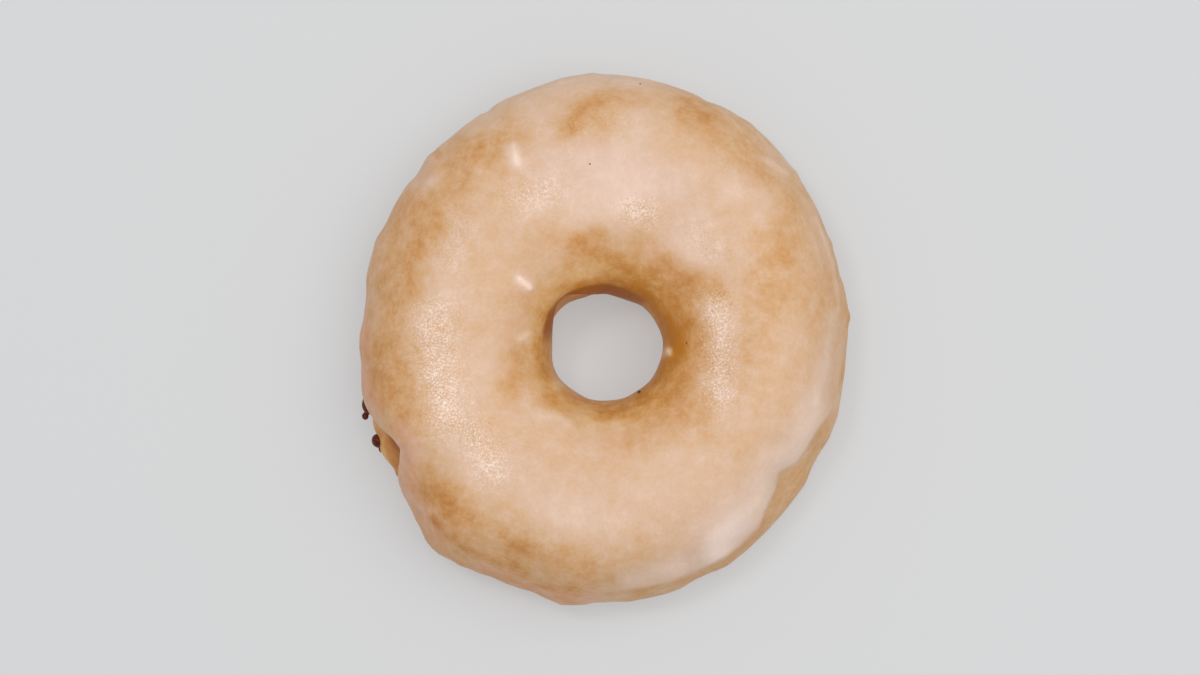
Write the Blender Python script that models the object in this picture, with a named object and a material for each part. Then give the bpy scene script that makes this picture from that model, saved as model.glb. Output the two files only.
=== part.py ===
"""A glazed ring doughnut: a fried yeast-dough ring under a skin of poured sugar glaze.

Metres, +Z up. +Y runs along the longer side of the ring. The origin is on the table, under the middle
of the doughnut. Azimuths are in degrees, counter-clockwise from +X as seen from above. A section angle
goes round the cut ring: 0 at the outer flank, 90 at the crown, 180 at the wall of the hole and 270 at
the base.
"""

import math
import random

import bmesh
import bpy
from mathutils import Vector

# Driving dimensions of the dough
DOUGH_LENGTH = 0.0942
DOUGH_WIDTH = 0.0858
DOUGH_HEIGHT = 0.0291
HOLE_LENGTH = 0.0221
HOLE_WIDTH = 0.0228
HOLE_SHIFT = (0.0012, -0.0019)  # the hole's middle lies a little off the ring's
WIDEST_HEIGHT = 0.0122  # the flank is widest a little below half height
SAG = 0.0016  # how far the base would bulge down if the table didn't press it flat
ROUNDNESS = 2.15  # 2 is an ellipse, and more is squarer

# On one side the dough proved wider at its foot, so the flank leans in to a squarer shoulder.
LEAN_AZIMUTH = 308.0
LEAN_SETBACK = 0.0021
LEAN_DROP = 0.0030  # the widest height is lower there
LEAN_SQUARENESS = 0.55

# Where the outline leaves its oval: azimuth, spread in degrees, push outwards
SWELLS = (
    (194.0, 4.0, 0.0003),
    (203.0, 10.0, 0.0015),
    (230.5, 6.5, 0.0017),
    (233.0, 14.0, 0.0012),
    (261.0, 4.5, 0.0008),
    (279.0, 12.0, -0.0006),
    (312.0, 24.0, -0.0009),
    (342.0, 11.0, 0.0005),
    (7.0, 5.0, 0.0005),
    (42.0, 22.0, 0.0004),
    (72.0, 10.0, -0.0004),
    (95.0, 6.0, 0.0004),
    (111.0, 15.0, -0.0009),
    (160.0, 12.0, -0.0002),
    (184.0, 9.0, 0.0004),
)
# Where the wall of the hole leaves its oval
HOLE_SWELLS = (
    (140.0, 18.0, 0.0005),
    (110.0, 20.0, -0.0006),
    (30.0, 18.0, 0.0003),
    (305.0, 10.0, -0.0003),
)
# Soft hollows in the dough, or swellings where less than 0: azimuth, section angle, their spreads, depth
HOLLOWS = (
    (322.0, 27.0, 7.0, 20.0, 0.0015),
    (127.0, 214.0, 45.0, 24.0, -0.0013),
    (204.0, -3.0, 9.0, 15.0, -0.0011),
    (241.0, -12.0, 9.0, 16.0, -0.0012),
    (112.0, -8.0, 8.0, 17.0, -0.0008),
    (27.0, 132.0, 9.0, 26.0, 0.0009),
    (100.0, 42.0, 8.0, 16.0, 0.0007),
    (47.0, 30.0, 7.0, 15.0, 0.0007),
    (250.0, 40.0, 12.0, 15.0, 0.0006),
    (205.0, 20.0, 8.0, 18.0, 0.0010),
    (190.0, 140.0, 14.0, 22.0, 0.0005),
)
# Slow unevenness of the dough, as shares of the section's size
WOBBLE_WAVES = 9
WOBBLE_SHARE = 0.0065
WOBBLE_SEED = 11

# Glaze
GLAZE_THICKNESS = 0.00095
POOLED_THICKNESS = 0.00045  # more of it where it has run down to the outer lip
LIP_ROUNDING = 0.0011  # the lip rounds off over this length
GLAZE_CLEARANCE = 0.0005
OUTER_LIP = -28.0  # section angle that the glaze runs down to on the outside
INNER_LIP = 202.0  # and in the hole
# Drips and bare places of the outer lip: azimuth, spread, degrees down the section (minus is up)
OUTER_LIP_RUNS = (
    (262.0, 6.0, 11.0),
    (283.0, 8.0, -7.0),
    (322.0, 10.0, 3.0),
    (346.0, 7.0, -9.0),
    (6.0, 7.0, 7.0),
    (24.0, 7.0, -6.0),
    (40.0, 8.0, 7.0),
    (62.0, 8.0, -8.0),
    (84.0, 8.0, 9.0),
    (111.0, 9.0, -29.0),
    (134.0, 8.0, 8.0),
    (158.0, 8.0, -7.0),
    (176.0, 8.0, 9.0),
    (195.0, 5.0, -14.0),
    (207.0, 11.5, -56.0),
    (208.5, 4.5, -12.0),
    (241.0, 10.0, -30.0),
)
# The same for the lip in the hole, where more is further down
INNER_LIP_RUNS = (
    (128.0, 52.0, -46.0),
    (20.0, 14.0, 8.0),
    (245.0, 16.0, 9.0),
    (292.0, 12.0, -9.0),
)

# Chocolate icing drops stuck to the bare flank: azimuth, section angle, width, length along the flank
DROPS = (
    (195.3, -12.0, 0.0030, 0.0038),
    (204.2, -6.0, 0.0023, 0.0026),
    (198.0, -16.0, 0.0014, 0.0015),
    (206.2, -10.0, 0.0013, 0.0014),
)
DROP_SINK = 0.18  # share of a drop's width that is inside the dough

# Mesh fineness
COLUMNS = 72
CLOSER_COLUMNS = (189.0, 270.0)  # twice as many of them between these azimuths
DOUGH_ROWS = 28
GLAZE_ROWS = 24
GLAZE_BACK_ROWS = 18
ROW_CROWDING = 0.55  # how much closer the glaze's rows lie near its lips
LIP_REACH = 0.45  # share of the glaze's rows that a lip's run shifts
DROP_SEGMENTS = 10
DROP_RINGS = 7


def bell(angle, centre, spread):
    """1 at the centre, and almost 0 from two spreads away, all in degrees."""
    apart = (angle - centre + 180.0) % 360.0 - 180.0
    return math.exp(-((apart / spread) ** 2))


def bumps(angle, table):
    """The sum of a table's bumps at an azimuth."""
    return sum(height * bell(angle, centre, spread) for centre, spread, height in table)


def oval_radius(angle, width, length):
    """Radius of an oval of that width along X and length along Y."""
    turn = math.radians(angle)
    return 1.0 / math.hypot(math.cos(turn) / (width / 2), math.sin(turn) / (length / 2))


def hole_radius(angle):
    """Distance from the ring's middle to the wall of the hole, whose own middle is shifted."""
    turn = math.radians(angle)
    along = HOLE_SHIFT[0] * math.cos(turn) + HOLE_SHIFT[1] * math.sin(turn)
    return oval_radius(angle, HOLE_WIDTH, HOLE_LENGTH) + along + bumps(angle, HOLE_SWELLS)


def lean(angle):
    """1 on the side whose foot proved wider, 0 on the opposite side."""
    return (1.0 + math.cos(math.radians(angle - LEAN_AZIMUTH))) / 2.0


def wobble_waves():
    """Slow waves over the ring: counts round it and round its section, phase and height."""
    draw = random.Random(WOBBLE_SEED)
    waves = []
    for index in range(WOBBLE_WAVES):
        round_ring = 2 + index
        round_section = draw.choice((1, 2, 3))
        waves.append((round_ring, round_section, draw.uniform(0, math.tau), draw.uniform(0.4, 1.0)))
    return waves


WAVES = wobble_waves()


def wobble(angle, section_angle):
    """Share by which the section is larger or smaller than its rule there."""
    turn = math.radians(angle)
    tilt = math.radians(section_angle)
    total = 0.0
    for round_ring, round_section, phase, height in WAVES:
        total += height * math.sin(round_ring * turn + phase) * math.cos(round_section * tilt + phase)
    return WOBBLE_SHARE * total


def hollow_depth(angle, section_angle):
    """Depth of the soft hollows there."""
    return sum(
        depth * bell(angle, azimuth, spread) * bell(section_angle, across, across_spread)
        for azimuth, across, spread, across_spread, depth in HOLLOWS
    )


def dough_point(angle, section_angle):
    """The point of the dough's surface at an azimuth and a section angle."""
    turn = math.radians(angle)
    tilt = math.radians(section_angle)
    leaning = lean(angle)
    outer = oval_radius(angle, DOUGH_WIDTH, DOUGH_LENGTH) + bumps(angle, SWELLS)
    inner = hole_radius(angle)
    middle = (outer + inner) / 2
    half_width = (outer - inner) / 2
    outside = max(0.0, math.cos(tilt))
    above = max(0.0, math.sin(tilt))
    power = ROUNDNESS + LEAN_SQUARENESS * leaning * outside
    reach = (abs(math.cos(tilt)) ** power + abs(math.sin(tilt)) ** power) ** (-1.0 / power)
    reach *= 1.0 + wobble(angle, section_angle)
    widest = WIDEST_HEIGHT - LEAN_DROP * leaning * outside
    half_height = DOUGH_HEIGHT - widest if math.sin(tilt) > 0 else widest + SAG
    hollow = hollow_depth(angle, section_angle)
    setback = LEAN_SETBACK * leaning * outside * min(1.0, 2.0 * above)
    radius = middle + half_width * reach * math.cos(tilt) - setback - hollow * math.cos(tilt)
    height = widest + half_height * reach * math.sin(tilt) - hollow * math.sin(tilt)
    return Vector((radius * math.cos(turn), radius * math.sin(turn), max(0.0, height)))


def dough_normal(angle, section_angle):
    """Outward direction of the dough's surface there."""
    step = 0.5
    round_section = dough_point(angle, section_angle + step) - dough_point(angle, section_angle - step)
    round_ring = dough_point(angle + step, section_angle) - dough_point(angle - step, section_angle)
    return round_ring.cross(round_section).normalized()


def outer_lip(angle):
    """Section angle of the glaze's lip on the outside."""
    return OUTER_LIP - bumps(angle, OUTER_LIP_RUNS)


def inner_lip(angle):
    """Section angle of the glaze's lip in the hole."""
    return INNER_LIP + bumps(angle, INNER_LIP_RUNS)


def glaze_angle(angle, share):
    """Section angle at a share of the way from lip to lip. Away from them it is alike all round."""
    shift = (outer_lip(angle) - OUTER_LIP) * max(0.0, 1.0 - share / LIP_REACH)
    shift += (inner_lip(angle) - INNER_LIP) * max(0.0, 1.0 - (1.0 - share) / LIP_REACH)
    return OUTER_LIP + (INNER_LIP - OUTER_LIP) * share + shift


def glaze_depth(angle, section_angle):
    """Thickness of the glaze, which rounds off to nothing at both lips."""
    low, high = outer_lip(angle), inner_lip(angle)
    section_radius = (DOUGH_HEIGHT + DOUGH_WIDTH / 2 - HOLE_WIDTH / 2) / 4
    to_lip = math.radians(min(section_angle - low, high - section_angle)) * section_radius
    near = min(1.0, max(0.0, to_lip / LIP_ROUNDING))
    pooled = POOLED_THICKNESS * bell(section_angle, low + 22.0, 26.0)
    return (GLAZE_THICKNESS + pooled) * math.sqrt(1.0 - (1.0 - near) ** 2)


def glaze_point(angle, section_angle, outside):
    """A point of the glaze's outside, or of its back, which lies just clear of the dough."""
    rise = GLAZE_CLEARANCE + (glaze_depth(angle, section_angle) if outside else 0.0)
    return dough_point(angle, section_angle) + dough_normal(angle, section_angle) * rise


def material(name, colour, roughness):
    """A plain Principled material, with no metal in it."""
    made = bpy.data.materials.new(name)
    made.use_nodes = True
    shader = made.node_tree.nodes["Principled BSDF"]
    shader.inputs["Base Color"].default_value = (*colour, 1.0)
    shader.inputs["Roughness"].default_value = roughness
    shader.inputs["Metallic"].default_value = 0.0
    return made


def ring_from_loops(name, loops, finish):
    """A closed ring whose section loops, one for each column, are bridged in turn."""
    mesh = bpy.data.meshes.new(name)
    shape = bmesh.new()
    columns = [[shape.verts.new(point) for point in loop] for loop in loops]
    for column, following in zip(columns, columns[1:] + columns[:1]):
        for index in range(len(column)):
            after = (index + 1) % len(column)
            shape.faces.new((column[index], following[index], following[after], column[after]))
    bmesh.ops.recalc_face_normals(shape, faces=shape.faces)
    shape.to_mesh(mesh)
    shape.free()
    mesh.shade_smooth()
    mesh.materials.append(finish)
    ring = bpy.data.objects.new(name, mesh)
    bpy.context.scene.collection.objects.link(ring)
    return ring


def azimuths():
    """The azimuth of each column."""
    start, end = CLOSER_COLUMNS
    step = 360.0 / COLUMNS
    even = [step * column for column in range(COLUMNS)]
    between = [azimuth + step / 2 for azimuth in even if start <= azimuth < end]
    return sorted(even + between)


def make_dough_ring(finish):
    """The fried dough, flat where it rests."""
    loops = [
        [dough_point(angle, 360.0 * row / DOUGH_ROWS - 90.0) for row in range(DOUGH_ROWS)]
        for angle in azimuths()
    ]
    return ring_from_loops("dough_ring", loops, finish)


def glaze_loop(angle):
    """The glaze's section: over the outside from lip to lip, and back along the dough."""
    loop = []
    for row in range(GLAZE_ROWS + 1):
        even = row / GLAZE_ROWS
        crowded = (1.0 - math.cos(math.pi * even)) / 2
        share = even + ROW_CROWDING * (crowded - even)
        loop.append(glaze_point(angle, glaze_angle(angle, share), True))
    for row in range(GLAZE_BACK_ROWS - 1, 0, -1):
        loop.append(glaze_point(angle, glaze_angle(angle, row / GLAZE_BACK_ROWS), False))
    return loop


def make_glaze(finish):
    """The set glaze: a closed skin over the top, the flank and the upper wall of the hole."""
    return ring_from_loops("glaze", [glaze_loop(angle) for angle in azimuths()], finish)


def make_drop(place, finish):
    """One rounded drop of chocolate icing, partly sunk in the flank."""
    angle, section_angle, width, length = place
    outward = dough_normal(angle, section_angle)
    centre = dough_point(angle, section_angle) + outward * width * (0.5 - DROP_SINK)
    bpy.ops.mesh.primitive_uv_sphere_add(segments=DROP_SEGMENTS, ring_count=DROP_RINGS, radius=0.5)
    drop = bpy.context.object
    drop.scale = (width, length, width)
    drop.rotation_euler = outward.to_track_quat("X", "Z").to_euler()
    drop.location = centre
    drop.data.materials.append(finish)
    return drop


def fuse(body, extras):
    """Joins the extras to the body with one Boolean union, and removes them."""
    group = bpy.data.collections.new("fused")
    bpy.context.scene.collection.children.link(group)
    for extra in extras:
        for holder in list(extra.users_collection):
            holder.objects.unlink(extra)
        group.objects.link(extra)
    union = body.modifiers.new("fuse", "BOOLEAN")
    union.operation = "UNION"
    union.solver = "EXACT"
    union.operand_type = "COLLECTION"
    union.collection = group
    bpy.context.view_layer.objects.active = body
    bpy.ops.object.modifier_apply(modifier=union.name)
    for extra in extras:
        bpy.data.objects.remove(extra)
    bpy.data.collections.remove(group)


def centre_on_table(pieces):
    """Moves the pieces so that their common box is centred over the origin, on the table."""
    corners = [piece.matrix_world @ vertex.co for piece in pieces for vertex in piece.data.vertices]
    middle_x = (min(c.x for c in corners) + max(c.x for c in corners)) / 2
    middle_y = (min(c.y for c in corners) + max(c.y for c in corners)) / 2
    lowest = min(c.z for c in corners)
    for piece in pieces:
        piece.location -= Vector((middle_x, middle_y, lowest))


def main():
    for existing in list(bpy.data.objects):
        bpy.data.objects.remove(existing)
    fried_dough = material("fried_dough", (0.46, 0.23, 0.085), 0.55)
    sugar_glaze = material("sugar_glaze", (0.73, 0.50, 0.32), 0.35)
    chocolate = material("chocolate_icing", (0.075, 0.022, 0.012), 0.3)
    dough_ring = make_dough_ring(fried_dough)
    glaze = make_glaze(sugar_glaze)
    fuse(dough_ring, [make_drop(place, chocolate) for place in DROPS])
    centre_on_table([dough_ring, glaze])
    doughnut = bpy.data.objects.new("doughnut", None)
    bpy.context.scene.collection.objects.link(doughnut)
    for piece in (dough_ring, glaze):
        piece.parent = doughnut


main()
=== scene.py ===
"""A glazed yeast doughnut, seen from above: fried dough, set sugar glaze and chocolate drops."""

import math

import bpy
import numpy as np
from mathutils import Matrix, Vector, noise
from mathutils.bvhtree import BVHTree


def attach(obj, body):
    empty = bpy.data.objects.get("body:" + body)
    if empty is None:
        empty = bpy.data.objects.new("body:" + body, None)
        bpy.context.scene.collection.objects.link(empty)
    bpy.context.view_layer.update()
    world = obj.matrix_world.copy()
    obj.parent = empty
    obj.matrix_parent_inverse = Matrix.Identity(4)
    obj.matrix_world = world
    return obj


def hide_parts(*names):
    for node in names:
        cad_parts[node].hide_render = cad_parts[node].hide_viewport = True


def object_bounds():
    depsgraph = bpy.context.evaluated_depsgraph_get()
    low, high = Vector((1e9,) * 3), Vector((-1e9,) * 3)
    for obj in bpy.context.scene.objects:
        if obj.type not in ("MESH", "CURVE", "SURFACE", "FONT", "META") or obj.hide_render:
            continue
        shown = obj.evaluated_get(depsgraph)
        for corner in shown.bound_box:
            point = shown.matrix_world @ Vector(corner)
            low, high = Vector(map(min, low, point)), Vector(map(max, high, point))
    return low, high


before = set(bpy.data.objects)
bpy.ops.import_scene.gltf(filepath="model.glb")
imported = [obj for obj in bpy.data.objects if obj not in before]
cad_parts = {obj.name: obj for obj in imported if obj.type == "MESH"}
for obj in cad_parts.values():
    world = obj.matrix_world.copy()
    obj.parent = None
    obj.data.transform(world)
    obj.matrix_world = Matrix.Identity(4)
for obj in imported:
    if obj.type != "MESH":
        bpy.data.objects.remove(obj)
cad_low, cad_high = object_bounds()


# The fried dough ring: yeast dough, proved as a ring and fried on both sides, so its skin is
# golden brown, darker and wrinkled where it lay in the fat, and paler in a band round the side.
# It carries the glaze and lies on its flat underside.
WRINKLE_SIZE = 0.0042
WRINKLE_HEIGHT = 0.00022
PIMPLE_SIZE = 0.0011
PIMPLE_HEIGHT = 0.00007
BROWNING_SIZE = 0.012
FRECKLE_SIZE = 0.0024
SKIN_SHEEN_SIZE = 0.003
SKIN_GRAIN_SIZE = 0.0006
PALE_BAND_STARTS = (0.006, 0.011)
PALE_BAND_ENDS = (0.015, 0.021)


def copy_of_node(node_name, piece_name):
    """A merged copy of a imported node's mesh, in quads, selected and active."""
    bpy.ops.object.select_all(action="DESELECT")
    piece = bpy.data.objects.new(piece_name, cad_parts[node_name].data.copy())
    bpy.context.scene.collection.objects.link(piece)
    bpy.context.view_layer.objects.active = piece
    piece.select_set(True)
    piece.data.materials.clear()
    bpy.ops.mesh.customdata_custom_splitnormals_clear()
    bpy.ops.object.mode_set(mode="EDIT")
    bpy.ops.mesh.select_all(action="SELECT")
    bpy.ops.mesh.remove_doubles(threshold=1e-6)
    bpy.ops.mesh.tris_convert_to_quads(
        face_threshold=math.pi, shape_threshold=math.pi, topology_influence=2.0
    )
    bpy.ops.mesh.select_all(action="DESELECT")
    bpy.ops.object.mode_set(mode="OBJECT")
    return piece


def smooth_by_subdivision(piece, levels):
    """Rounds the piece by subdividing it."""
    bpy.context.view_layer.objects.active = piece
    rounding = piece.modifiers.new("rounding", "SUBSURF")
    rounding.levels = levels
    rounding.render_levels = levels
    bpy.ops.object.modifier_apply(modifier=rounding.name)


def roughen(piece, size, height):
    """Raises and dents the surface by a cloudy pattern of that size and height, in metres."""
    pattern = bpy.data.textures.new("pattern", "CLOUDS")
    pattern.noise_scale = size
    pattern.noise_depth = 2
    relief = piece.modifiers.new("relief", "DISPLACE")
    relief.texture = pattern
    relief.texture_coords = "LOCAL"
    relief.strength = height
    relief.mid_level = 0.5
    bpy.context.view_layer.objects.active = piece
    bpy.ops.object.modifier_apply(modifier=relief.name)
    bpy.data.textures.remove(pattern)


class Flow:
    """A value in a material's nodes. Sums and products of flows add their Math nodes."""

    def __init__(self, tree, socket=None):
        self.tree = tree
        self.socket = socket

    def node(self, kind, settings, inputs, output=0):
        """Adds a node, sets it up, links or fills its inputs, and gives one of its outputs."""
        made = self.tree.nodes.new("ShaderNode" + kind)
        for name, value in settings.items():
            if name == "stops":
                stops = made.color_ramp.elements
                stops.remove(stops[1])
                stops[0].position, stops[0].color = value[0][0], (*value[0][1], 1.0)
                for place, colour in value[1:]:
                    stops.new(place).color = (*colour, 1.0)
            else:
                setattr(made, name, value)
        for name, value in inputs.items():
            if isinstance(value, Flow):
                self.tree.links.new(value.socket, made.inputs[name])
            else:
                made.inputs[name].default_value = value
        return Flow(self.tree, made.outputs[output])

    def maths(self, operation, *values):
        return self.node("Math", {"operation": operation}, dict(enumerate(values)))

    def __add__(self, other):
        return self.maths("ADD", self, other)

    def __radd__(self, other):
        return self.maths("ADD", other, self)

    def __sub__(self, other):
        return self.maths("SUBTRACT", self, other)

    def __rsub__(self, other):
        return self.maths("SUBTRACT", other, self)

    def __mul__(self, other):
        return self.maths("MULTIPLY", self, other)

    def __rmul__(self, other):
        return self.maths("MULTIPLY", other, self)


def new_finish(name):
    """An empty Principled material: the material, its tree as a flow, its shader and places."""
    made = bpy.data.materials.new(name)
    made.use_nodes = True
    tree = Flow(made.node_tree)
    places = tree.node("TexCoord", {}, {}, "Object")
    return made, tree, made.node_tree.nodes["Principled BSDF"], places


def clouds(tree, places, size, detail=3.0, roughness=0.5):
    """Soft noise between 0 and 1, whose patches are about that size in metres."""
    sockets = {"Vector": places, "Scale": 1.0 / size, "Detail": detail, "Roughness": roughness}
    return tree.node("TexNoise", {}, sockets)


def ramp(tree, value, low, high, bottom=0.0, top=1.0):
    """The value taken from one range to another and held at its ends."""
    numbers = {"Value": value, 1: low, 2: high, 3: bottom, 4: top}
    return tree.node("MapRange", {"interpolation_type": "SMOOTHSTEP"}, numbers)


def feed(flow, shader, name):
    """Links a flow to one of the shader's sockets."""
    flow.tree.links.new(flow.socket, shader.inputs[name])


def settle(shader, constants):
    """Sets sockets of the shader that are the same all over the surface."""
    for name, value in constants.items():
        shader.inputs[name].default_value = value


def linear(red, green, blue):
    """A colour given as it looks on screen, 0 to 255, as the shader counts it."""
    return tuple(((value / 255 + 0.055) / 1.055) ** 2.4 for value in (red, green, blue))


def coloured(value, stops):
    """A colour picked by the value from stops: each its place, and its colour on screen."""
    stops = [(place, linear(*colour)) for place, colour in stops]
    return value.node("ValToRGB", {"stops": stops}, {"Fac": value}, "Color")


def painted_value(tree, name):
    """What is painted on the piece's points under that name."""
    return tree.node("Attribute", {"attribute_name": name}, {}, "Fac")


def bumped(relief, strength):
    """Normals for a relief too fine for the mesh."""
    return relief.node("Bump", {}, {"Strength": strength, "Distance": 0.0002, "Height": relief})


# The camera stands straight over the doughnut, a little towards its lower right: its tilt and
# bearing, its distance from the point that it aims at, in metres, and how many pixels of the
# photograph cover a thing as wide as it is far.
TILT = math.radians(4.0)
BEARING = math.radians(-40.0)
DISTANCE = 0.70
AIM = Vector((-0.00066, 0.00007, 0.014))
PIXELS = 3815.0
MIDDLE = (600.0, 337.5)
backward = Vector((
    math.sin(TILT) * math.cos(BEARING), math.sin(TILT) * math.sin(BEARING), math.cos(TILT)
))
eye = AIM + backward * DISTANCE
right = (-backward).cross(Vector((0.0, 1.0, 0.0))).normalized()
up = right.cross(-backward)


def seen_at(points):
    """Where the camera sees points of the doughnut, in pixels of the photograph."""
    away = points - np.array(eye)
    depth = -(away @ np.array(backward))
    across = PIXELS * (away @ np.array(right)) / depth
    down = PIXELS * (away @ np.array(up)) / depth
    return np.stack((MIDDLE[0] + across, MIDDLE[1] - down), axis=1)


def nearest_on(seen, way):
    """For each seen point: how far the way is, its nearest point, and what share lies before."""
    way = np.array(way if len(way) > 1 else way * 2, float)
    nearest = np.full(len(seen), np.inf)
    foot = np.zeros_like(seen)
    before = np.zeros(len(seen))
    lengths = np.maximum(np.hypot(*np.diff(way, axis=0).T), 1e-6)
    passed = 0.0
    for start, end, length in zip(way[:-1], way[1:], lengths):
        share = np.clip((seen - start) @ (end - start) / length**2, 0.0, 1.0)
        point = start + share[:, None] * (end - start)
        distance = np.hypot(*(seen - point).T)
        closer = distance < nearest
        nearest[closer] = distance[closer]
        foot[closer] = point[closer]
        before[closer] = (passed + share[closer] * length) / lengths.sum()
        passed += length
    return nearest, foot, before


def run(seen, half_width, way):
    """1 on the way and less beside it."""
    nearest, _, _ = nearest_on(seen, way)
    return np.exp(-((nearest / half_width) ** 2))


def on_the_ways(seen, table):
    """The sum of a table's amounts, each on its way and less beside it."""
    return sum(amount * run(seen, half_width, way) for amount, half_width, way in table)


def step(values, low, high):
    """0 below low, 1 above high, and smooth between."""
    share = np.clip((values - low) / (high - low), 0.0, 1.0)
    return share * share * (3.0 - 2.0 * share)


def places_of(piece):
    """The places and normals of the piece's points."""
    mesh = piece.data
    co = np.empty(len(mesh.vertices) * 3)
    normal = np.empty(len(mesh.vertices) * 3)
    mesh.vertices.foreach_get("co", co)
    mesh.vertices.foreach_get("normal", normal)
    return co.reshape(-1, 3), normal.reshape(-1, 3)


def move_to(piece, co):
    """Gives the piece's points new places."""
    piece.data.vertices.foreach_set("co", co.ravel())
    piece.data.update()


def paint(piece, name, values):
    """Keeps one value for each point of the piece, for its material to read."""
    layer = piece.data.attributes.new(name, "FLOAT", "POINT")
    layer.data.foreach_set("value", values.astype(np.float32))


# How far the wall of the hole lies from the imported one, and the radii between which that fades.
HOLE_SHIFT = (-0.00064, -0.00012)
HOLE_WALL = 0.0115
BEYOND_HOLE_WALL = 0.0180


def with_hole_moved(co):
    """The places with the wall of the hole moved a little, and the rest of the ring left alone."""
    near = 1.0 - step(np.hypot(co[:, 0], co[:, 1]), HOLE_WALL, BEYOND_HOLE_WALL)
    co[:, :2] += near[:, None] * np.array(HOLE_SHIFT)
    return co


# Swellings of the dough where the glaze leaves it bare on the left: height in millimetres, half
# width in pixels of the photograph, and way. Then where its skin is darker, by how much, in the
# same way: darker crust, painted shadow along the glaze's lip and in the gap under its edge, and,
# where the amount is below nothing, painted highlight streaks.
SWELLINGS = [
    (0.45, 6, [(368, 416), (375, 429)]),
    (0.90, 7, [(385, 449), (391, 460), (396, 469)]),
    (1.05, 5, [(401, 474), (406, 484), (409, 491)]),
]
STAINS_SHADOWS_AND_HIGHLIGHTS = [
    (0.16, 6.0, [(390, 440), (397, 450), (403, 460)]),
    # The rows from here are painted: a shadow line along the glaze's lip, a shadow in the gap under
    # its edge, and two highlight streaks on the bare crust.
    (0.10, 2.0, [(384, 430), (393, 440), (400, 452), (405, 464)]),
    (0.40, 1.5, [(388, 458), (395, 472), (401, 485), (405, 494)]),
    (-0.25, 1.5, [(391, 458), (397, 470), (403, 482)]),
    (-0.20, 1.6, [(383, 438), (387, 448), (390, 456)]),
]
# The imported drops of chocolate: centre, the way each faces, its width and length, and how far
# the scene's own drop lies from it.
DROPS = [
    ((-0.04392, -0.01171, 0.00828), (-0.9652, -0.0459, -0.2576), 0.0028, 0.0038,
     (0.0001, -0.0003, 0)),
    ((-0.04270, -0.01906, 0.00957), (-0.9125, -0.3997, -0.0869), 0.0024, 0.0027,
     (0.0007, 0.0003, 0)),
    ((-0.04289, -0.01375, 0.00739), (-0.9165, -0.1072, -0.3854), 0.0013, 0.0015,
     (-0.0017, -0.0004, 0.0004)),
    ((-0.04146, -0.02031, 0.00856), (-0.8219, -0.4944, -0.2829), 0.0013, 0.0014,
     (0.0001, 0, 0.0004)),
]
# The drops are cut out of the dough within this share of their length, or of the least length.
CUT_SHARE = 0.53
CUT_LEAST_LENGTH = 0.0015

dough = copy_of_node("dough_ring", "fried_dough_ring")
for vertex in dough.data.vertices:
    vertex.select = any(
        (vertex.co - Vector(centre)).length < CUT_SHARE * max(length, CUT_LEAST_LENGTH)
        for centre, _, _, length, _ in DROPS
    )
bpy.ops.object.mode_set(mode="EDIT")
bpy.ops.mesh.select_mode(type="VERT")
bpy.ops.mesh.delete(type="VERT")
bpy.ops.mesh.select_all(action="SELECT")
bpy.ops.mesh.fill_holes(sides=0)
bpy.ops.mesh.select_all(action="DESELECT")
bpy.ops.object.mode_set(mode="OBJECT")
smooth_by_subdivision(dough, 2)
roughen(dough, WRINKLE_SIZE, WRINKLE_HEIGHT)
roughen(dough, PIMPLE_SIZE, PIMPLE_HEIGHT)
co, normal = places_of(dough)
co = with_hole_moved(co)
seen = seen_at(co)
co += normal * (on_the_ways(seen, SWELLINGS) / 1000)[:, None]
co[:, 2] = np.maximum(co[:, 2], 0.0)
move_to(dough, co)
dough.data.shade_smooth()
# Darker crust, painted shadow lines along the glaze's lip and painted highlight streaks.
paint(dough, "stained", on_the_ways(seen, STAINS_SHADOWS_AND_HIGHLIGHTS))

crust, tree, shader, places = new_finish("fried_crust")
height = tree.node("SeparateXYZ", {}, {"Vector": places}, "Z")
patches = clouds(tree, places, BROWNING_SIZE, 4.0, 0.6)
browning = patches * 0.7 + clouds(tree, places, FRECKLE_SIZE) * 0.3
band = ramp(tree, height, *PALE_BAND_STARTS) * (1.0 - ramp(tree, height, *PALE_BAND_ENDS))
# The browning takes in the darker crust, the painted shadow lines and the painted highlight
# streaks.
fried = browning - band * 0.16 + painted_value(tree, "stained")
skin = coloured(fried, [
    (0.10, (226, 178, 116)),
    (0.28, (212, 150, 84)),
    (0.44, (198, 130, 60)),
    (0.60, (172, 104, 42)),
    (0.80, (126, 70, 28)),
])
feed(skin, shader, "Base Color")
feed(0.42 + clouds(tree, places, SKIN_SHEEN_SIZE) * 0.2, shader, "Roughness")
grain = clouds(tree, places, SKIN_GRAIN_SIZE, 4.0, 0.7)
feed(bumped(grain, 0.25), shader, "Normal")
settle(shader, {
    "Specular IOR Level": 0.15, "Subsurface Weight": 0.08, "Subsurface Radius": (1.0, 0.5, 0.25),
    "Subsurface Scale": 0.0015,
})
dough.data.materials.append(crust)
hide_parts("dough_ring")
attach(dough, "root")


# Drops of chocolate icing that splashed on the left flank under the glaze's lip. Each set as a
# rounded blob, and the two larger ones have a small one run into them.
DROP_VOXEL = 0.00012
DROP_SMOOTHINGS = 6
DROP_DENT_SIZE = 0.0012
DROP_DENT_HEIGHT = 0.00010
COCOA_SIZE = 0.0008
DROP_SHEEN_SIZE = 0.0007


def join_as(name, blobs):
    """Joins the blobs into one piece, with its place in its mesh."""
    for blob in blobs:
        blob.select_set(True)
    bpy.context.view_layer.objects.active = blobs[0]
    bpy.ops.object.join()
    piece = bpy.context.object
    piece.name = name
    bpy.ops.object.transform_apply(location=True, rotation=True, scale=True)
    return piece


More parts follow.
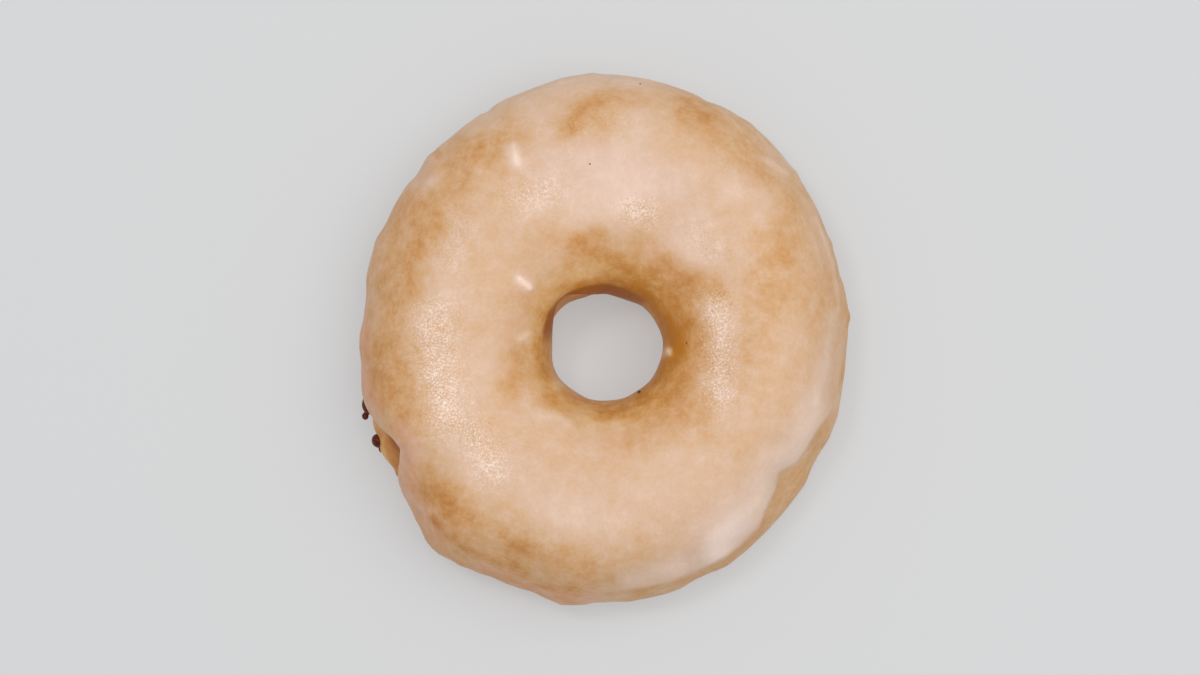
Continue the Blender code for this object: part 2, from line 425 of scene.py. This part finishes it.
bpy.ops.object.select_all(action="DESELECT")
blobs = []
for centre, outward, width, length, shift in DROPS:
    bpy.ops.mesh.primitive_uv_sphere_add(
        segments=20, ring_count=12, radius=0.5, location=Vector(centre) + Vector(shift),
        rotation=Vector(outward).to_track_quat("X", "Z").to_euler(), scale=(width, length, width),
    )
    blobs.append(bpy.context.object)
drops = join_as("chocolate_drops", blobs)
melt = drops.modifiers.new("melt", "REMESH")
melt.mode = "VOXEL"
melt.voxel_size = DROP_VOXEL
bpy.ops.object.modifier_apply(modifier=melt.name)
relax = drops.modifiers.new("relax", "SMOOTH")
relax.iterations = DROP_SMOOTHINGS
bpy.ops.object.modifier_apply(modifier=relax.name)
roughen(drops, DROP_DENT_SIZE, DROP_DENT_HEIGHT)
drops.data.shade_smooth()

chocolate, tree, shader, places = new_finish("chocolate_icing")
cocoa = coloured(clouds(tree, places, COCOA_SIZE), [(0.35, (80, 30, 15)), (0.65, (108, 46, 26))])
feed(cocoa, shader, "Base Color")
feed(0.2 + clouds(tree, places, DROP_SHEEN_SIZE) * 0.2, shader, "Roughness")
settle(shader, {"Specular IOR Level": 0.15, "Coat Weight": 0.12, "Coat Roughness": 0.1})
drops.data.materials.clear()
drops.data.materials.append(chocolate)
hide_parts("dough_ring")
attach(drops, "root")


# The sugar glaze: thin icing that the warm ring was dipped in. It set cloudy where it is thick
# and stayed clear over the dough where it is thin, ran down the flank to an uneven lip, and
# closes over the upper wall of the hole.
PRESSED_IN = 0.0003
DRAPE_SIZE = 0.009
DRAPE_HEIGHT = 0.00035
RIPPLE_SIZE = 0.0035
RIPPLE_HEIGHT = 0.00012
LONGEST_STEP_ROUND = math.radians(0.8)
SHORT_OF_BOX = 2e-5
HOLE_LIP_WITHIN = 0.022
BACK_PATCH_SIZE = 0.014
BLOTCH_SIZE = 0.0075
MOTTLE_SIZE = 0.0030
SPECKLE_SIZE = 0.0009
GRAIN_SIZE = 0.00036
GLINT_SPECK_SIZE = 0.00032
SHEEN_SIZE = 0.004
SUGAR_BUMP_SIZE = 0.0004
RIPPLE_BUMP_SIZE = 0.002

# How far a point must face the camera, from not at all to fully: to carry lumps, to swell with
# the outline, and to be seen.
FACING_FOR_LUMPS = (0.0, 0.35)
FACING_FOR_SWELLS = (-0.55, -0.1)
FACING_TO_BE_SEEN = (-0.05, 0.2)
# The middle of the ring, in pixels of the photograph, and where its brown rim round the hole ends
# and has faded, counted from there.
RING_MIDDLE = (606.0, 343.0)
RIM_ENDS = 68.0
RIM_FADED = 98.0
# How thick the glaze is between its runs, and how its runs stray: over what length, in metres,
# and how far, in pixels.
MIDDLING = 0.651
SWIRL_SIZE = 0.004
SWIRL_REACH = 2.5
# How much a lump thickens the glaze and so pales it, partly as a painted highlight on the lump,
# for each millimetre of its height.
LUMP_COVER_AND_HIGHLIGHT = 0.45

# Runs where the glaze is thin and the dough shows through, and runs where it is thick, each by
# how much, its half width and its way, in pixels of the photograph. Some thin runs are painted
# shade, at the lower edge of the hole and along the fold at the lower left, and some thick runs
# are painted highlights on lumps and a painted reflection on the facet at the lower right.
THIN_AND_PAINTED_SHADE = [
    (0.24, 20, [(511, 132), (491, 152), (466, 150), (450, 188), (433, 207), (415, 254), (407, 273),
                (392, 305), (380, 336), (381, 373), (388, 393), (402, 415)]),
    (0.13, 15, [(405, 201), (389, 248), (376, 274)]),
    (0.14, 23, [(424, 273)]),
    (0.19, 18, [(412, 349), (415, 384)]),
    (0.05, 22, [(362, 352), (385, 368)]),
    (0.26, 18, [(426, 480), (441, 499), (454, 512), (461, 519)]),
    (0.11, 26, [(441, 500)]),
    (0.16, 33, [(509, 531)]),
    (0.22, 20, [(519, 552)]),
    (0.13, 16, [(544, 555)]),
    (0.20, 24, [(575, 567)]),
    (0.14, 40, [(624, 571)]),
    (0.13, 21, [(787, 202), (795, 221), (759, 277)]),
    (0.11, 30, [(770, 298), (812, 276), (831, 314)]),
    (0.10, 10, [(648, 96), (664, 91), (705, 118)]),
    (0.19, 18, [(690, 111), (740, 140), (755, 172)]),
    (0.19, 9, [(573, 126), (580, 107), (592, 101), (616, 95), (628, 97)]),
    (0.12, 18, [(562, 131), (578, 120)]),
    (0.17, 19, [(602, 121)]),
    (0.14, 8, [(572, 238), (594, 232), (607, 238)]),
    (0.27, 15, [(580, 252), (596, 254)]),
    (0.13, 11, [(618, 261), (636, 282)]),
    (0.10, 10, [(637, 269), (669, 259)]),
    (0.18, 14, [(569, 275), (537, 303)]),
    (0.37, 10, [(568, 301), (586, 289), (607, 286), (617, 289), (637, 294)]),
    (0.21, 16, [(581, 290), (623, 272), (638, 285)]),
    (0.38, 9, [(648, 299), (662, 317), (671, 345), (676, 351), (658, 373), (642, 389)]),
    (0.38, 18, [(672, 300), (684, 352), (687, 353), (677, 381), (670, 396)]),
    (0.24, 15, [(655, 275), (693, 283), (713, 287)]),
    (0.15, 18, [(632, 445), (657, 418), (696, 423)]),
    # These two thin the glaze round the lower edge of the hole and partly paint the shade there.
    (0.35, 10, [(550, 395), (578, 400), (602, 407), (644, 400)]),
    (0.19, 7, [(552, 408), (576, 420), (606, 418), (637, 415)]),
    (0.42, 10, [(554, 313), (538, 346), (547, 375)]),
    (0.21, 16, [(515, 353), (511, 383)]),
    (0.14, 17, [(548, 227)]),
    (0.14, 19, [(635, 248)]),
    (0.10, 21, [(753, 349), (723, 374)]),
    (0.17, 17, [(695, 329)]),
    # These two paint the shade along the fold at the lower left as thin glaze.
    (0.29, 10, [(433, 526), (455, 546), (482, 563), (494, 568)]),
    (0.20, 10, [(514, 570), (527, 586), (571, 595)]),
]
THICK_AND_PAINTED_LIGHT = [
    (0.09, 46, [(659, 483)]),
    (0.13, 32, [(624, 141)]),
    # These two make the facet at the lower right paler: partly paler glaze, partly a painted
    # reflection of the light on that flat facet.
    (0.22, 17, [(714, 559), (725, 538), (742, 520)]),
    (0.15, 23, [(717, 541)]),
    (0.14, 14, [(813, 411), (813, 417), (792, 454), (769, 459), (759, 501)]),
    (0.12, 30, [(809, 431), (784, 494), (738, 503)]),
    (0.10, 25, [(549, 160), (582, 163), (630, 184), (677, 178)]),
    (0.15, 27, [(538, 207), (627, 208)]),
    (0.14, 11, [(754, 195), (769, 198), (760, 216)]),
    (0.18, 13, [(716, 306), (722, 326), (719, 382)]),
    (0.11, 18, [(455, 429)]),
    (0.17, 26, [(478, 461), (489, 471)]),
    (0.13, 21, [(491, 365)]),
    (0.10, 12, [(552, 85), (609, 73), (668, 87)]),
    (0.15, 7, [(833, 318), (816, 400)]),
    (0.25, 14, [(630, 580), (679, 567)]),
    # These five lighten lumps: thicker glaze, and partly painted highlights on them.
    (0.25, 5, [(519, 280), (530, 288)]),
    (0.22, 9, [(512, 147), (515, 160)]),
    (0.12, 10, [(434, 184), (456, 172)]),
    (0.16, 8, [(518, 340), (527, 338)]),
    (0.13, 7, [(541, 416), (581, 419)]),
    # This one lightens the lump by the hole, partly as a painted highlight.
    (0.55, 4.5, [(668, 353)]),
    (0.16, 27, [(441, 269), (431, 365), (446, 393)]),
    (0.15, 27, [(533, 507), (610, 533)]),
    (0.10, 18, [(698, 222), (721, 272)]),
    (0.09, 39, [(453, 109), (522, 118)]),
    (0.12, 14, [(677, 242), (694, 257)]),
    (0.12, 16, [(745, 177), (733, 192)]),
]
# Folds where the dipped top face ends and the flank falls away: the cover of glaze on the
# flank beyond, the drop of the fold in millimetres, and its way.
FOLDS = [
    (0.50, 0.35, [(838, 395), (828, 415), (817, 430), (805, 450), (795, 464), (778, 473),
                  (775, 490), (765, 510), (759, 526), (746, 540), (727, 555), (714, 563),
                  (694, 572), (668, 583), (640, 588), (604, 592)]),
    (0.50, 0.15, [(812, 205), (823, 232), (830, 252), (835, 271), (838, 289), (842, 312),
                  (843, 340), (841, 370), (836, 400)]),
    (0.46, 0.25, [(408, 492), (420, 510), (430, 520), (451, 543), (472, 557), (501, 567),
                  (530, 583), (553, 593)]),
]
# Between what distances from its way a fold turns, and over what share of its way it runs in.
FOLD_EDGE = (-1.2, 1.8)
FOLD_RUNS_IN = 0.12
# Lumps of sugar and air under the glaze: height in millimetres, half width in pixels, and way.
LUMPS = [
    (0.40, 3.2, [(519, 278), (530, 288)]),
    (0.25, 4.0, [(513, 146), (517, 164)]),
    (0.25, 4.0, [(429, 183), (435, 180)]),
    (0.20, 3.5, [(521, 340), (529, 334)]),
    (0.22, 4.5, [(558, 414), (569, 423)]),
    (0.20, 3.5, [(555, 384), (556, 388)]),
    (0.35, 2.8, [(668, 350), (670, 355)]),
    (0.30, 2.6, [(767, 159), (786, 173)]),
    (0.20, 3.5, [(419, 439), (422, 441)]),
    (0.22, 2.2, [(816, 217), (826, 240), (833, 262), (837, 285), (840, 310)]),
    (0.15, 3.0, [(545, 184), (547, 190)]),
    (0.15, 3.0, [(460, 224), (463, 229)]),
    (0.14, 3.0, [(412, 442), (414, 443)]),
    (0.12, 4.0, [(478, 458), (484, 468)]),
]
# Swells and dents of the glaze on the way round its outline, written like the lumps.
SWELLS = [
    (0.55, 9, [(433, 150), (430, 154)]),
    (0.70, 13, [(377, 242), (366, 276)]),
    (0.50, 11, [(359, 337), (358, 346)]),
    (-0.50, 4, [(400, 449), (403, 457), (404, 463)]),
    (0.45, 12, [(398, 484), (407, 504), (414, 516)]),
    (0.35, 12, [(427, 542), (436, 553)]),
    (0.60, 12, [(463, 567), (477, 572)]),
    (0.70, 9, [(565, 608), (576, 607)]),
    (0.65, 15, [(633, 600), (660, 596), (677, 590)]),
    (0.75, 15, [(727, 563), (752, 544), (779, 516), (802, 485)]),
    (0.45, 11, [(828, 438), (837, 418)]),
    (0.45, 6, [(850, 317)]),
    (0.30, 7, [(797, 171)]),
    (-0.35, 8, [(706, 101)]),
    (0.30, 6, [(592, 72)]),
    (0.25, 7, [(750, 122)]),
    (-0.28, 6, [(488, 111)]),
    (-0.30, 7, [(415, 175)]),
    (0.25, 7, [(832, 242)]),
    (-0.20, 7, [(839, 275)]),
]
# Where the outline has a point, in pixels of the photograph. The flank under it is smoothed out
# to the first distance, and less as far as the second.
POINT_SEEN = (430.0, 152.0)
SMOOTHED_NEAR = 24.0
SMOOTHED_FAR = 40.0
SMOOTHINGS = 12
# The wall of the hole where it is seen, deep in the ring: brown, and darkened further by painted
# shade. Its half width and its way.
DEEP_HALF_WIDTH = 5.0
DEEP_FADE = 1.5
DEEP = [(547, 352), (548, 331), (552, 316), (560, 305), (572, 296), (590, 290), (608, 289),
        (623, 293), (638, 300), (648, 308), (655, 317)]
# Where the glaze is rosier, by how much, half width and way.
ROSY = [
    (1.0, 9, [(362, 300), (362, 345), (366, 385), (374, 408)]),
    (0.9, 11, [(402, 428), (408, 455), (408, 485), (418, 510), (436, 535)]),
    (0.7, 9, [(470, 566), (520, 585), (560, 600), (590, 598)]),
    (0.3, 14, [(368, 260), (392, 210), (430, 165)]),
]
# Where it is cooler and more like milk, in the same way; the last run cools the painted
# reflection on the pale facet at the lower right.
PEARLY_AND_REFLECTION = [
    (0.8, 34, [(560, 168), (640, 172), (690, 205)]),
    (0.6, 22, [(470, 215), (452, 240)]),
    (0.6, 26, [(525, 470), (600, 490)]),
    (0.5, 20, [(735, 260), (745, 330), (715, 440)]),
    # Painted reflection on the pale facet at the lower right.
    (0.8, 14, [(715, 545), (738, 530)]),
]
# Where the sugar has set in grains and glints, by how much, half width and way: there the colour
# gets painted glints of light and painted sparkle in its grain.
GLINTS = [
    (1.0, 22, [(436, 320), (438, 370), (446, 415)]),
    (1.0, 16, [(716, 305), (720, 350), (718, 395)]),
    (0.9, 13, [(632, 211), (648, 213)]),
    (0.8, 18, [(478, 440), (494, 470)]),
    (0.6, 16, [(548, 190), (520, 200)]),
    (0.4, 14, [(462, 225), (450, 260)]),
    (0.4, 14, [(700, 235), (715, 250)]),
    (0.12, 16, [(560, 130), (620, 120)]),
]


def beyond(seen, way):
    """1 outside a fold and 0 inside it, fading where the fold runs out."""
    nearest, foot, before = nearest_on(seen, way)
    outward = np.hypot(*(seen - RING_MIDDLE).T) - np.hypot(*(foot - RING_MIDDLE).T)
    outside = step(np.sign(outward) * nearest, *FOLD_EDGE)
    return outside * step(before, 0.0, FOLD_RUNS_IN) * (1.0 - step(before, 1.0 - FOLD_RUNS_IN, 1.0))


glaze = copy_of_node("glaze", "set_glaze")
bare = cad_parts["dough_ring"]
skin_tree = BVHTree.FromPolygons(
    [vertex.co for vertex in bare.data.vertices],
    [tuple(face.vertices) for face in bare.data.polygons],
)
for face in glaze.data.polygons:
    foot, _, _, _ = skin_tree.find_nearest(face.center)
    face.select = face.normal.dot(face.center - foot) < 0.0
bpy.ops.object.mode_set(mode="EDIT")
bpy.ops.mesh.select_mode(type="FACE")
bpy.ops.mesh.separate(type="SELECTED")
bpy.ops.object.mode_set(mode="OBJECT")
glaze_back = next(piece for piece in bpy.context.selected_objects if piece != glaze)
smooth_by_subdivision(glaze_back, 1)

smooth_by_subdivision(glaze, 1)
bpy.ops.object.select_all(action="DESELECT")
glaze.select_set(True)
bpy.context.view_layer.objects.active = glaze
co, normal = places_of(glaze)
azimuth = np.arctan2(co[:, 1], co[:, 0])
for edge in glaze.data.edges:
    turned = azimuth[edge.vertices[1]] - azimuth[edge.vertices[0]]
    turned = (turned + math.pi) % (2 * math.pi) - math.pi
    edge.select = bool(abs(turned) > LONGEST_STEP_ROUND)
bpy.ops.object.mode_set(mode="EDIT")
bpy.ops.mesh.select_mode(type="EDGE")
bpy.ops.mesh.subdivide(number_cuts=1)
bpy.ops.object.mode_set(mode="OBJECT")
smooth_by_subdivision(glaze, 1)
roughen(glaze, DRAPE_SIZE, DRAPE_HEIGHT)
roughen(glaze, RIPPLE_SIZE, RIPPLE_HEIGHT)

co, normal = places_of(glaze)
co = with_hole_moved(co)
seen = seen_at(co)
facing = normal @ np.array(backward)
rise_mm = on_the_ways(seen, LUMPS) * step(facing, *FACING_FOR_LUMPS)
rise_mm += on_the_ways(seen, SWELLS) * step(facing, *FACING_FOR_SWELLS)
for _, drop_mm, way in FOLDS:
    rise_mm -= drop_mm * beyond(seen, way)
co += normal * (rise_mm / 1000)[:, None]
co = np.clip(co, np.array(cad_low) + SHORT_OF_BOX, np.array(cad_high) - SHORT_OF_BOX)
move_to(glaze, co)
off_point = np.hypot(*(seen_at(co) - POINT_SEEN).T)
near_point = 1.0 - step(off_point, SMOOTHED_NEAR, SMOOTHED_FAR)
soft = glaze.vertex_groups.new(name="soft")
for index in np.flatnonzero(near_point > 0.01):
    soft.add([int(index)], float(near_point[index]), "REPLACE")
relax = glaze.modifiers.new("relax", "SMOOTH")
relax.iterations = SMOOTHINGS
relax.vertex_group = soft.name
bpy.ops.object.modifier_apply(modifier=relax.name)
glaze.vertex_groups.clear()

for piece in (glaze_back, glaze):
    piece.select_set(True)
bpy.context.view_layer.objects.active = glaze
edge_of_back = len(glaze.data.vertices)
bpy.ops.object.join()
bpy.ops.object.mode_set(mode="EDIT")
for inner in (False, True):
    bpy.ops.mesh.select_all(action="DESELECT")
    bpy.ops.mesh.select_mode(type="EDGE")
    bpy.ops.mesh.select_non_manifold(
        extend=False, use_wire=False, use_multi_face=False, use_non_contiguous=False,
        use_verts=False,
    )
    bpy.ops.object.mode_set(mode="OBJECT")
    for edge in glaze.data.edges:
        middle = glaze.data.vertices[edge.vertices[0]].co
        if edge.select and (math.hypot(middle.x, middle.y) < HOLE_LIP_WITHIN) != inner:
            edge.select = False
    bpy.ops.object.mode_set(mode="EDIT")
    bpy.ops.mesh.bridge_edge_loops()
bpy.ops.object.mode_set(mode="OBJECT")

pressed = glaze.vertex_groups.new(name="pressed")
pressed.add(list(range(edge_of_back, len(glaze.data.vertices))), 1.0, "REPLACE")
press = glaze.modifiers.new("press", "SHRINKWRAP")
press.target = dough
press.wrap_method = "NEAREST_SURFACEPOINT"
press.wrap_mode = "OUTSIDE_SURFACE"
press.offset = -PRESSED_IN
press.vertex_group = pressed.name
bpy.ops.object.modifier_apply(modifier=press.name)
glaze.vertex_groups.clear()
glaze.data.shade_smooth()

co, normal = places_of(glaze)
seen = seen_at(co)
swirl = np.array([noise.noise_vector(point / SWIRL_SIZE)[:2] for point in map(Vector, co)])
astray = seen + SWIRL_REACH * swirl
thickness = MIDDLING - on_the_ways(astray, THIN_AND_PAINTED_SHADE) + on_the_ways(astray, THICK_AND_PAINTED_LIGHT)
for flank_cover, _, way in FOLDS:
    thickness += (flank_cover - thickness) * beyond(seen, way)
# Lumps made paler: thicker glaze, and partly a painted highlight on each.
thickness += LUMP_COVER_AND_HIGHLIGHT * on_the_ways(seen, LUMPS)
# The seen wall of the hole: browner glaze, and darker by painted shade.
off_deep, _, before = nearest_on(seen, DEEP)
deep = 1.0 - step(off_deep, DEEP_HALF_WIDTH - DEEP_FADE, DEEP_HALF_WIDTH + DEEP_FADE)
deep *= step(before, 0.0, 0.15) * (1.0 - step(before, 0.75, 1.0))
painted_on = {
    "thickness": thickness,
    "glinting": on_the_ways(astray, GLINTS),
    "rosy": on_the_ways(astray, ROSY),
    "pearly": on_the_ways(astray, PEARLY_AND_REFLECTION),
    "unseen": 1.0 - step(normal @ np.array(backward), *FACING_TO_BE_SEEN),
    "deep": deep,
    "rim": 1.0 - step(np.hypot(*(seen - RING_MIDDLE).T), RIM_ENDS, RIM_FADED),
}
for name, values in painted_on.items():
    paint(glaze, name, np.clip(values, 0.0, 1.0))

icing, tree, shader, places = new_finish("set_sugar_glaze")
painted, glinting, rosy, pearly, unseen, deep, rim = (
    painted_value(tree, name) for name in painted_on
)
back_patches = clouds(tree, places, BACK_PATCH_SIZE, 3.0, 0.6)
round_the_back = (0.30 + back_patches * 0.4) * (1.0 - rim * 0.45)
smooth_cover = (painted * (1.0 - unseen) + round_the_back * unseen) * (1.0 - deep * 0.4)
patchy = ramp(tree, painted, 0.35, 0.92, 0.78, 0.14) + glinting * 0.25
blotches = (clouds(tree, places, BLOTCH_SIZE, 2.0, 0.5) - 0.5) * (patchy * 0.35)
mottling = (clouds(tree, places, MOTTLE_SIZE, 4.0, 0.68) - 0.5) * patchy + blotches
speckle = (clouds(tree, places, SPECKLE_SIZE, 3.0, 0.65) - 0.5) * (0.08 + patchy * 0.25)
# Grain in the cover, strongest where the sugar glints: partly the sugar's grain, partly painted
# sparkle.
grain_and_sparkle = (clouds(tree, places, GRAIN_SIZE, 1.0) - 0.5) * (0.06 + glinting * 0.95)
cover = smooth_cover + mottling + speckle + grain_and_sparkle
milky = coloured(cover, [
    (0.000, (188, 121, 46)),
    (0.126, (192, 130, 66)),
    (0.252, (201, 144, 86)),
    (0.377, (210, 158, 106)),
    (0.497, (215, 170, 125)),
    (0.623, (220, 181, 145)),
    (0.742, (225, 191, 164)),
    (0.862, (235, 205, 183)),
    (1.000, (253, 224, 205)),
])
# Painted glints: white specks mixed into the colour where the grainy sugar catches the light.
glint_specks = ramp(tree, clouds(tree, places, GLINT_SPECK_SIZE, 1.0), 0.56, 0.76)
painted_glints = glint_specks * (glinting * 0.8 + 0.06)
glint_white = (*linear(255, 240, 226), 1.0)
tinted = tree.node("Mix", {"data_type": "RGBA"}, {0: painted_glints, 6: milky, 7: glint_white}, 2)
multiply = {"data_type": "RGBA", "blend_type": "MULTIPLY"}
for share, tint in (
    (rim, (1.08, 1.16, 1.06)),
    (rosy, (1.03, 0.93, 1.04)),
    (pearly, (0.985, 1.01, 1.09)),
    # Painted shade on the seen wall of the hole.
    (deep, (0.68, 0.55, 0.60)),
):
    tinted = tree.node("Mix", multiply, {0: share, 6: tinted, 7: (*tint, 1.0)}, 2)
feed(tinted, shader, "Base Color")
feed(0.46 + clouds(tree, places, SHEEN_SIZE) * 0.14 - painted_glints * 0.2, shader, "Roughness")
sugar = clouds(tree, places, SUGAR_BUMP_SIZE, 4.0, 0.75)
ripple = clouds(tree, places, RIPPLE_BUMP_SIZE, 2.0)
feed(bumped(sugar * 0.35 + ripple * 0.65, 0.45), shader, "Normal")
settle(shader, {
    "Subsurface Weight": 0.2, "Subsurface Radius": (1.0, 0.6, 0.4), "Subsurface Scale": 0.0015,
    "Specular IOR Level": 0.08, "Coat Weight": 0.05, "Coat Roughness": 0.2,
})
glaze.data.materials.append(icing)
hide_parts("glaze")
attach(glaze, "root")


# Dark crumbs of fried dough, the size of a grain of salt, that stuck in the glaze as it set.
# Each: where it is seen, in pixels of the photograph, and its width.
CRUMBS = [
    ((590, 164), 0.00036),
    ((686.6, 343), 0.00034),
    ((639.5, 392.5), 0.00085),
    ((640, 84), 0.00040),
]
CRUMB_SHEEN_SIZE = 0.0002
glaze_tree = BVHTree.FromPolygons(
    [vertex.co for vertex in glaze.data.vertices],
    [tuple(face.vertices) for face in glaze.data.polygons],
)
bpy.ops.object.select_all(action="DESELECT")
grains = []
for number, ((px, py), width) in enumerate(CRUMBS):
    ray = -backward + right * ((px - MIDDLE[0]) / PIXELS) + up * ((MIDDLE[1] - py) / PIXELS)
    spot, _, _, _ = glaze_tree.ray_cast(eye, ray.normalized())
    bpy.ops.mesh.primitive_ico_sphere_add(
        subdivisions=2, radius=width / 2, location=spot, scale=(1.0, 0.75, 0.6),
        rotation=(0.3 * number, 0.2, 1.1 * number),
    )
    grains.append(bpy.context.object)
crumbs = join_as("dark_crumbs", grains)
crumbs.data.shade_smooth()
burnt, tree, shader, places = new_finish("browned_crumb")
settle(shader, {"Base Color": (*linear(84, 50, 28), 1.0)})
feed(0.5 + clouds(tree, places, CRUMB_SHEEN_SIZE) * 0.3, shader, "Roughness")
crumbs.data.materials.append(burnt)
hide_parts("glaze")
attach(crumbs, "root")


# The setting: a plain pale floor, a broad soft light from the right with a small one from the
# upper left, and the camera.
FLOOR_SIZE = 4.0
SENSOR_WIDTH = 36.0
PHOTOGRAPH_WIDTH = 1200.0
bpy.ops.object.select_all(action="DESELECT")
bpy.ops.mesh.primitive_plane_add(size=FLOOR_SIZE, location=(0, 0, 0))
table_top = bpy.context.object
table_top.name = "table_top"
matt, tree, shader, places = new_finish("pale_table")
settle(shader, {
    "Base Color": (0.33, 0.333, 0.337, 1.0), "Roughness": 0.8,
    "Emission Color": (0.98, 0.99, 1.0, 1.0), "Emission Strength": 0.34,
})
table_top.data.materials.append(matt)

world = bpy.data.worlds.new("room")
world.use_nodes = True
world.node_tree.nodes["Background"].inputs["Color"].default_value = (1.0, 1.0, 1.0, 1.0)
world.node_tree.nodes["Background"].inputs["Strength"].default_value = 0.50
bpy.context.scene.world = world

# Each lamp: its name, place, width and power.
LAMPS = [
    ("overhead_window", (0.30, 0.10, 1.0), 0.9, 4.9),
    ("side_window", (-0.24, 0.20, 1.0), 0.2, 1.5),
]
for lamp_name, place, width, power in LAMPS:
    bpy.ops.object.light_add(type="AREA", location=place)
    lamp = bpy.context.object
    lamp.name = lamp_name
    lamp.data.shape = "DISK"
    lamp.data.size = width
    lamp.data.energy = power
    lamp.rotation_euler = (-Vector(place)).to_track_quat("-Z", "Y").to_euler()

camera_data = bpy.data.cameras.new("camera")
camera_data.sensor_width = SENSOR_WIDTH
camera_data.lens = SENSOR_WIDTH * PIXELS / PHOTOGRAPH_WIDTH
camera_data.clip_start = 0.01
camera = bpy.data.objects.new("camera", camera_data)
bpy.context.scene.collection.objects.link(camera)
camera.location = eye
camera.rotation_euler = Matrix((right, up, backward)).transposed().to_euler()
bpy.context.scene.camera = camera
bpy.context.scene.view_settings.view_transform = "Standard"
